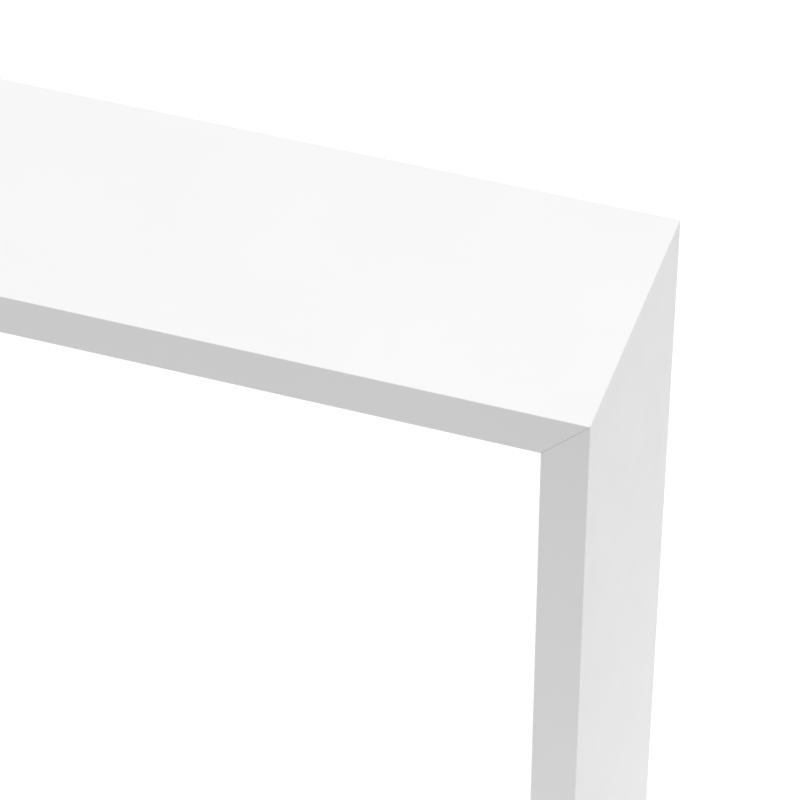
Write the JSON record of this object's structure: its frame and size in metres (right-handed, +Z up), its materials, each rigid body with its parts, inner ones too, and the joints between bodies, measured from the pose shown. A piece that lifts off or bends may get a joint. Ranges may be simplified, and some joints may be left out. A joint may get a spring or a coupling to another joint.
{
  "type": "console table",
  "caption": "Slab-sided console table: a thick white lacquered top mitred into two full-depth slab legs, on small levelling feet.",
  "frame": {"origin": "floor level, midway between the legs and midway between the front and back faces", "axes": "+X along the table to its right end, +Y to the back, +Z up"},
  "size_m": [1.2, 0.3, 0.85],
  "materials": {
    "white_lacquer": "satin",
    "timber": "matte",
    "kraft_paper": "matte",
    "cast_zinc": "satin",
    "zinc_plated_steel": "satin",
    "beech": "matte",
    "cap_plastic": "satin",
    "glide_plastic": "matte",
    "glide_rubber": "matte"
  },
  "bodies": {
    "table": {"top_upper_skin": "white_lacquer", "top_lower_skin": "white_lacquer", "top_front_edging": "white_lacquer", "top_back_edging": "white_lacquer", "top_front_rail": "timber", "top_back_rail": "timber", "top_left_mitre_block": "timber", "top_right_mitre_block": "timber", "top_honeycomb_core": "kraft_paper", "foot_insert_nuts": "zinc_plated_steel", "left_leg_outer_skin": "white_lacquer", "left_leg_inner_skin": "white_lacquer", "left_leg_front_edging": "white_lacquer", "left_leg_back_edging": "white_lacquer", "left_leg_bottom_edging": "white_lacquer", "left_leg_front_rail": "timber", "left_leg_back_rail": "timber", "left_leg_mitre_block": "timber", "left_leg_bottom_rail": "timber", "left_leg_honeycomb_core": "kraft_paper", "left_cam_locks": "cast_zinc", "left_mitre_bolts": "zinc_plated_steel", "left_mitre_studs": "zinc_plated_steel", "left_mitre_pivot_pins": "zinc_plated_steel", "left_cam_caps": "cap_plastic", "left_mitre_dowels": "beech", "right_leg_outer_skin": "white_lacquer", "right_leg_inner_skin": "white_lacquer", "right_leg_front_edging": "white_lacquer", "right_leg_back_edging": "white_lacquer", "right_leg_bottom_edging": "white_lacquer", "right_leg_front_rail": "timber", "right_leg_back_rail": "timber", "right_leg_mitre_block": "timber", "right_leg_bottom_rail": "timber", "right_leg_honeycomb_core": "kraft_paper", "right_cam_locks": "cast_zinc", "right_mitre_bolts": "zinc_plated_steel", "right_mitre_studs": "zinc_plated_steel", "right_mitre_pivot_pins": "zinc_plated_steel", "right_cam_caps": "cap_plastic", "right_mitre_dowels": "beech"},
    "front_left_glide": {"front_left_foot_base": "glide_plastic", "front_left_foot_pad": "glide_rubber"},
    "front_left_stud": {"front_left_foot_stud": "zinc_plated_steel"},
    "front_right_glide": {"front_right_foot_base": "glide_plastic", "front_right_foot_pad": "glide_rubber"},
    "front_right_stud": {"front_right_foot_stud": "zinc_plated_steel"},
    "back_left_glide": {"back_left_foot_base": "glide_plastic", "back_left_foot_pad": "glide_rubber"},
    "back_left_stud": {"back_left_foot_stud": "zinc_plated_steel"},
    "back_right_glide": {"back_right_foot_base": "glide_plastic", "back_right_foot_pad": "glide_rubber"},
    "back_right_stud": {"back_right_foot_stud": "zinc_plated_steel"}
  },
  "joints": [
    {"name": "front_left_foot_height", "type": "slide", "parent": "table", "child": "front_left_glide", "axis": [0, 0, -1], "range_m": [0, 0.012]},
    {"name": "front_left_foot_screw", "type": "hinge", "parent": "front_left_glide", "child": "front_left_stud", "pos_m": [-0.5775, -0.1, 0.01], "axis": [0, 0, -1], "range_deg": [0, 3456]},
    {"name": "front_right_foot_height", "type": "slide", "parent": "table", "child": "front_right_glide", "axis": [0, 0, -1], "range_m": [0, 0.012]},
    {"name": "front_right_foot_screw", "type": "hinge", "parent": "front_right_glide", "child": "front_right_stud", "pos_m": [0.5775, -0.1, 0.01], "axis": [0, 0, -1], "range_deg": [0, 3456]},
    {"name": "back_left_foot_height", "type": "slide", "parent": "table", "child": "back_left_glide", "axis": [0, 0, -1], "range_m": [0, 0.012]},
    {"name": "back_left_foot_screw", "type": "hinge", "parent": "back_left_glide", "child": "back_left_stud", "pos_m": [-0.5775, 0.1, 0.01], "axis": [0, 0, -1], "range_deg": [0, 3456]},
    {"name": "back_right_foot_height", "type": "slide", "parent": "table", "child": "back_right_glide", "axis": [0, 0, -1], "range_m": [0, 0.012]},
    {"name": "back_right_foot_screw", "type": "hinge", "parent": "back_right_glide", "child": "back_right_stud", "pos_m": [0.5775, 0.1, 0.01], "axis": [0, 0, -1], "range_deg": [0, 3456]}
  ],
  "couplings": [
    {"joint": "front_left_foot_screw", "follows": "front_left_foot_height", "rad_per_m": 5026.5},
    {"joint": "front_right_foot_screw", "follows": "front_right_foot_height", "rad_per_m": 5026.5},
    {"joint": "back_left_foot_screw", "follows": "back_left_foot_height", "rad_per_m": 5026.5},
    {"joint": "back_right_foot_screw", "follows": "back_right_foot_height", "rad_per_m": 5026.5}
  ]
}
